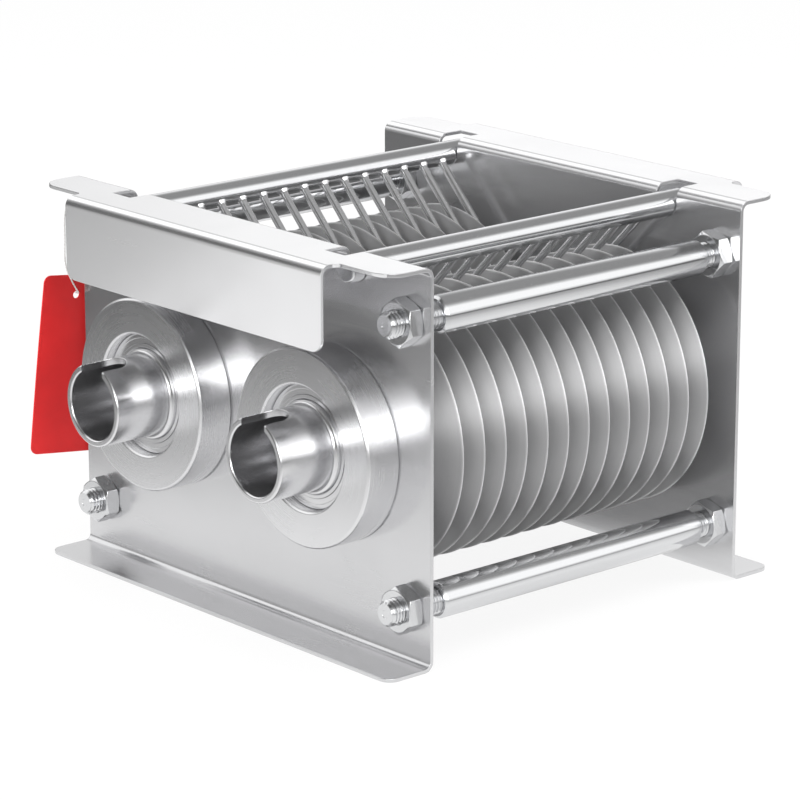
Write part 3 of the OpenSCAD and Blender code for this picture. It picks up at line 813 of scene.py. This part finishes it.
class CARTRIDGE_OT_string(bpy.types.Operator):
    """Thin white string of two twisted strands"""

    bl_idname = "cartridge.string"
    bl_label = "Tag string"

    def execute(self, context):
        material = self.thread()
        thick = sizes().string_thick
        path = self.route()
        bm = bmesh.new()
        for start in (0, math.pi):
            wound = self.twist(path, thick * STRAND_ASIDE, start, sizes().string_turn)
            self.lay_strand(bm, wound, thick * STRAND_RADIUS)
        string = put_piece("tag_string_twisted", bm, "frame", [material], weighted=False)
        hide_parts("tag_string")
        ends = (path[0] + path[-1]) / 2
        along = (path[0] - path[-1]).normalized()
        reach = (path[0] - path[-1]).length
        line = [ends + along * reach * (k / KNOT_STEPS - 1) for k in range(2 * KNOT_STEPS + 1)]
        bm = bmesh.new()
        wound = self.twist(line, thick * KNOT_ASIDE, 0, reach * KNOT_TURN)
        self.lay_strand(bm, wound, thick * KNOT_RADIUS)
        knot = put_piece("tag_string_knot", bm, "frame", [material], weighted=False)
        return {"FINISHED"}

    def route(self):
        """Points along the string, from the knot under the tie rod's thread all the way round to it."""
        count = len(STRING_KNOTS)
        points = []
        for i in range(count):
            p0, p1, p2, p3 = (Vector(STRING_KNOTS[(i + k) % count]) * MILLIMETRE for k in (-1, 0, 1, 2))
            steps = max(2, round((p2 - p1).length / sizes().string_step))
            for k in range(steps):
                t = k / steps
                points.append((2 * p1 + (p2 - p0) * t + (2 * p0 - 5 * p1 + 4 * p2 - p3) * t * t
                               + (3 * p1 - p0 - 3 * p2 + p3) * t * t * t) / 2)
        open_end = math.ceil(sizes().string_thick * KNOT_BRIDGES / sizes().string_step)
        return points[:-open_end]

    def twist(self, path, radius, start, turn):
        """A path that winds round another one at a radius, once for each turn length."""
        wound = []
        # Any direction that the path doesn't start in
        aside = Vector((1, -1, 0.3))
        gone = 0.0
        for before, here, after in zip(path[:1] + path, path, path[1:] + path[-1:]):
            along = (after - before).normalized()
            aside = (aside - along * aside.dot(along)).normalized()
            angle = start + math.tau * gone / turn
            wound.append(here + radius * (math.cos(angle) * aside + math.sin(angle) * along.cross(aside)))
            gone += (after - here).length
        return wound

    def lay_strand(self, bm, points, radius):
        """Adds a round strand along the points to bm."""
        curve = bpy.data.curves.new("strand", "CURVE")
        curve.dimensions = "3D"
        curve.bevel_depth = radius
        curve.bevel_resolution = 2
        curve.use_fill_caps = True
        line = curve.splines.new("POLY")
        line.points.add(len(points) - 1)
        for point, place in zip(line.points, points):
            point.co = (*place, 1)
        holder = bpy.data.objects.new("strand", curve)
        mesh = bpy.data.meshes.new_from_object(holder)
        bm.from_mesh(mesh)
        bpy.data.objects.remove(holder)
        bpy.data.curves.remove(curve)
        bpy.data.meshes.remove(mesh)

    def thread(self):
        """Cotton thread with fibres in its bump."""
        material, tree, shader, place = blank_material("tag_thread")
        fibres = noise(tree, place, 5200.0, 4.0, 0.65)
        pale = colours().string
        shaded = [part * 0.8 for part in pale]
        tone = colour_ramp(tree, fibres, ((0.3, shaded), (0.65, pale)))
        tree.links.new(tone, shader.inputs["Base Color"])
        bump = add(tree, "ShaderNodeBump", {"Strength": 0.8, "Distance": 0.00008, "Height": fibres})
        tree.links.new(bump.outputs[0], shader.inputs["Normal"])
        shader.inputs["Roughness"].default_value = 0.85
        return material


class CARTRIDGE_OT_stage(bpy.types.Operator):
    """Camera, floor, room and soft boxes"""

    bl_idname = "cartridge.stage"
    bl_label = "Studio"

    def execute(self, context):
        context.scene.view_settings.view_transform = "Standard"
        self.set_camera(context)
        self.lay_floor()
        self.light_world(context)
        self.hang_lights()
        return {"FINISHED"}

    def set_camera(self, context):
        """Looks at the target from the azimuth, elevation and distance that the studio gives."""
        data = bpy.data.cameras.new("photo_camera")
        data.lens = studio().lens
        data.sensor_width = 36
        data.clip_start = 0.05
        data.clip_end = 50
        camera = bpy.data.objects.new("photo_camera", data)
        context.scene.collection.objects.link(camera)
        azimuth = studio().azimuth
        elevation = studio().elevation
        back = Vector((
            math.sin(azimuth) * math.cos(elevation),
            -math.cos(azimuth) * math.cos(elevation),
            math.sin(elevation),
        ))
        camera.location = Vector(studio().target) + back * studio().distance
        look = (-back).to_track_quat("-Z", "Y").to_matrix()
        camera.rotation_euler = (look @ Matrix.Rotation(studio().roll, 3, "Z")).to_euler()
        context.scene.camera = camera

    def lay_floor(self):
        """A wide pale floor, white to the camera where light falls on it, with a painted glow of its own
        that only metal reflects and a painted shadow under the part in that glow.
        """
        bm = bmesh.new()
        bmesh.ops.create_grid(bm, x_segments=1, y_segments=1, size=6)
        mesh = bpy.data.meshes.new("studio_floor")
        bm.to_mesh(mesh)
        bm.free()
        material = bpy.data.materials.new("studio_floor")
        material.use_nodes = True
        tree = material.node_tree
        tree.nodes.clear()
        matte = add(tree, "ShaderNodeBsdfDiffuse", {"Color": (*colours().floor, 1)})
        glow = add(tree, "ShaderNodeEmission", {"Color": WHITE, "Strength": 1.0})
        path = add(tree, "ShaderNodeLightPath")
        share = math_node(tree, "MULTIPLY", path.outputs["Is Camera Ray"], studio().floor_white)
        seen = add(tree, "ShaderNodeMixShader", {0: share, 1: matte.outputs[0], 2: glow.outputs[0]})
        centre = (CAD_BOX[0] + CAD_BOX[1]) / 2
        place = add(tree, "ShaderNodeTexCoord").outputs["Object"]
        away = vector_node(tree, "SUBTRACT", place, (centre.x, centre.y, 0))
        reach = vector_node(tree, "LENGTH", away)
        front_left = vector_node(tree, "DOT_PRODUCT", away, FRONT_LEFT)
        past_edge = math_node(tree, "SUBTRACT", front_left, studio().front_edge)
        ahead = math_node(tree, "MAXIMUM", past_edge, 0.0)
        far = math_node(tree, "MULTIPLY_ADD", ahead, studio().front_fall, reach)
        stops = [(distance / FLOOR_REACH, grey) for distance, grey in PAINTED_FLOOR_LEVELS]
        level = grey_ramp(tree, math_node(tree, "DIVIDE", far, FLOOR_REACH), stops)
        # A painted glow that only metal sees, dark under the part as a painted shadow
        painted_glow = add(tree, "ShaderNodeEmission", {"Color": level, "Strength": 1.0})
        mixed = add(tree, "ShaderNodeMixShader",
                    {0: path.outputs["Is Glossy Ray"], 1: seen.outputs[0], 2: painted_glow.outputs[0]})
        output = add(tree, "ShaderNodeOutputMaterial")
        tree.links.new(mixed.outputs[0], output.inputs[0])
        mesh.materials.append(material)
        floor = bpy.data.objects.new("studio_floor", mesh)
        bpy.context.scene.collection.objects.link(floor)

    def light_world(self, context):
        """White to the camera and an even room to matte things. Metal reflects long bands along the shafts,
        a window high on the left and a wide light on the camera's side."""
        world = bpy.data.worlds.new("studio_room")
        context.scene.world = world
        world.use_nodes = True
        tree = world.node_tree
        tree.nodes.clear()
        path = add(tree, "ShaderNodeLightPath")
        way = add(tree, "ShaderNodeTexCoord").outputs["Generated"]
        parts = add(tree, "ShaderNodeSeparateXYZ", {0: way})
        turn = math_node(tree, "ARCTAN2", parts.outputs[2], parts.outputs[0])
        share = math_node(tree, "MULTIPLY_ADD", turn, 1 / math.tau, 0.5)
        bands = grey_ramp(tree, share, [(0.5 + angle / 360, level) for angle, level in ROOM_BANDS])
        behind = math_node(tree, "ADD", parts.outputs[0], parts.outputs[1])
        full = studio().band_light
        strength = map_range(tree, behind, BANDS_FROM, BANDS_FULL, studio().front_room * full, full)
        window = self.light_patch(tree, way, HIGH_WINDOW, studio().window)
        wide = self.light_patch(tree, way, CAMERA_WALL, studio().camera_side)
        white = self.glow(tree, WHITE, 1.0)
        even = self.glow(tree, WHITE, studio().room_light)
        striped = self.glow(tree, bands, strength)
        patches = self.glow(tree, WHITE, math_node(tree, "ADD", window, wide))
        shown = add(tree, "ShaderNodeAddShader", {0: striped, 1: patches})
        to_metal = add(tree, "ShaderNodeMixShader",
                       {0: path.outputs["Is Glossy Ray"], 1: even, 2: shown.outputs[0]})
        mixed = add(tree, "ShaderNodeMixShader",
                    {0: path.outputs["Is Camera Ray"], 1: to_metal.outputs[0], 2: white})
        output = add(tree, "ShaderNodeOutputWorld")
        tree.links.new(mixed.outputs[0], output.inputs[0])

    def glow(self, tree, colour, level):
        """Output of a background of one colour at one level."""
        return add(tree, "ShaderNodeBackground", {"Color": colour, "Strength": level}).outputs[0]

    def light_patch(self, tree, way, patch, level):
        """Output of the level of a round patch of light with a soft edge."""
        direction, edge, full = patch
        toward = vector_node(tree, "DOT_PRODUCT", way, direction)
        return map_range(tree, toward, edge, full, 0.0, level)

    def hang_lights(self):
        """Soft boxes round the part, turned to its middle. Metal shows only the one behind the camera."""
        centre = (CAD_BOX[0] + CAD_BOX[1]) / 2
        # Name, power, place from the part's middle, and size
        boxes = (
            ("side_soft_box", studio().side_light, (0.62, 0.72, 0.78), (0.35, 0.9)),
            ("front_soft_box", studio().front_light, (-0.75, -0.95, 0.75), (1.0, 1.0)),
            ("top_soft_box", studio().top_light, (0.1, -0.1, 1.3), (0.5, 1.0)),
            ("camera_soft_box", studio().camera_light, (1.44, -1.27, 0.54), (2.4, 0.5)),
        )
        for name, power, offset, size in boxes:
            data = bpy.data.lights.new(name, "AREA")
            data.shape = "RECTANGLE"
            data.size, data.size_y = size
            data.energy = power
            lamp = bpy.data.objects.new(name, data)
            bpy.context.scene.collection.objects.link(lamp)
            lamp.location = centre + Vector(offset)
            lamp.rotation_euler = (-Vector(offset)).to_track_quat("-Z", "Y").to_euler()
            lamp.visible_glossy = name == "camera_soft_box"


class CARTRIDGE_PT_panel(bpy.types.Panel):
    """Lists the cartridge's steps"""

    bl_idname = "CARTRIDGE_PT_panel"
    bl_label = "Slicing cartridge"
    bl_space_type = "VIEW_3D"
    bl_region_type = "UI"
    bl_category = "Cartridge"

    def draw(self, context):
        for step in STEPS:
            self.layout.operator(step.bl_idname)
        for group in (sizes(), colours(), studio()):
            box = self.layout.box()
            for key in group.bl_rna.properties.keys():
                if key not in ("rna_type", "name"):
                    box.prop(group, key)


STEPS = (
    CARTRIDGE_OT_plates,
    CARTRIDGE_OT_tie_rods,
    CARTRIDGE_OT_nuts,
    CARTRIDGE_OT_bearings,
    CARTRIDGE_OT_shafts,
    CARTRIDGE_OT_blades,
    CARTRIDGE_OT_combs,
    CARTRIDGE_OT_tag,
    CARTRIDGE_OT_string,
    CARTRIDGE_OT_stage,
)
CLASSES = (CartridgeSizes, CartridgeColours, CartridgeStudio, *STEPS, CARTRIDGE_PT_panel)


def register():
    for cls in CLASSES:
        bpy.utils.register_class(cls)
    bpy.types.Scene.cartridge_sizes = PointerProperty(type=CartridgeSizes)
    bpy.types.Scene.cartridge_colours = PointerProperty(type=CartridgeColours)
    bpy.types.Scene.cartridge_studio = PointerProperty(type=CartridgeStudio)


def unregister():
    del bpy.types.Scene.cartridge_studio
    del bpy.types.Scene.cartridge_colours
    del bpy.types.Scene.cartridge_sizes
    for cls in reversed(CLASSES):
        bpy.utils.unregister_class(cls)


def main():
    register()
    bpy.ops.cartridge.plates()
    bpy.ops.cartridge.tie_rods()
    bpy.ops.cartridge.nuts()
    bpy.ops.cartridge.bearings()
    bpy.ops.cartridge.shafts()
    bpy.ops.cartridge.blades()
    bpy.ops.cartridge.combs()
    bpy.ops.cartridge.tag()
    bpy.ops.cartridge.string()
    bpy.ops.cartridge.stage()


if __name__ == "__main__":
    main()
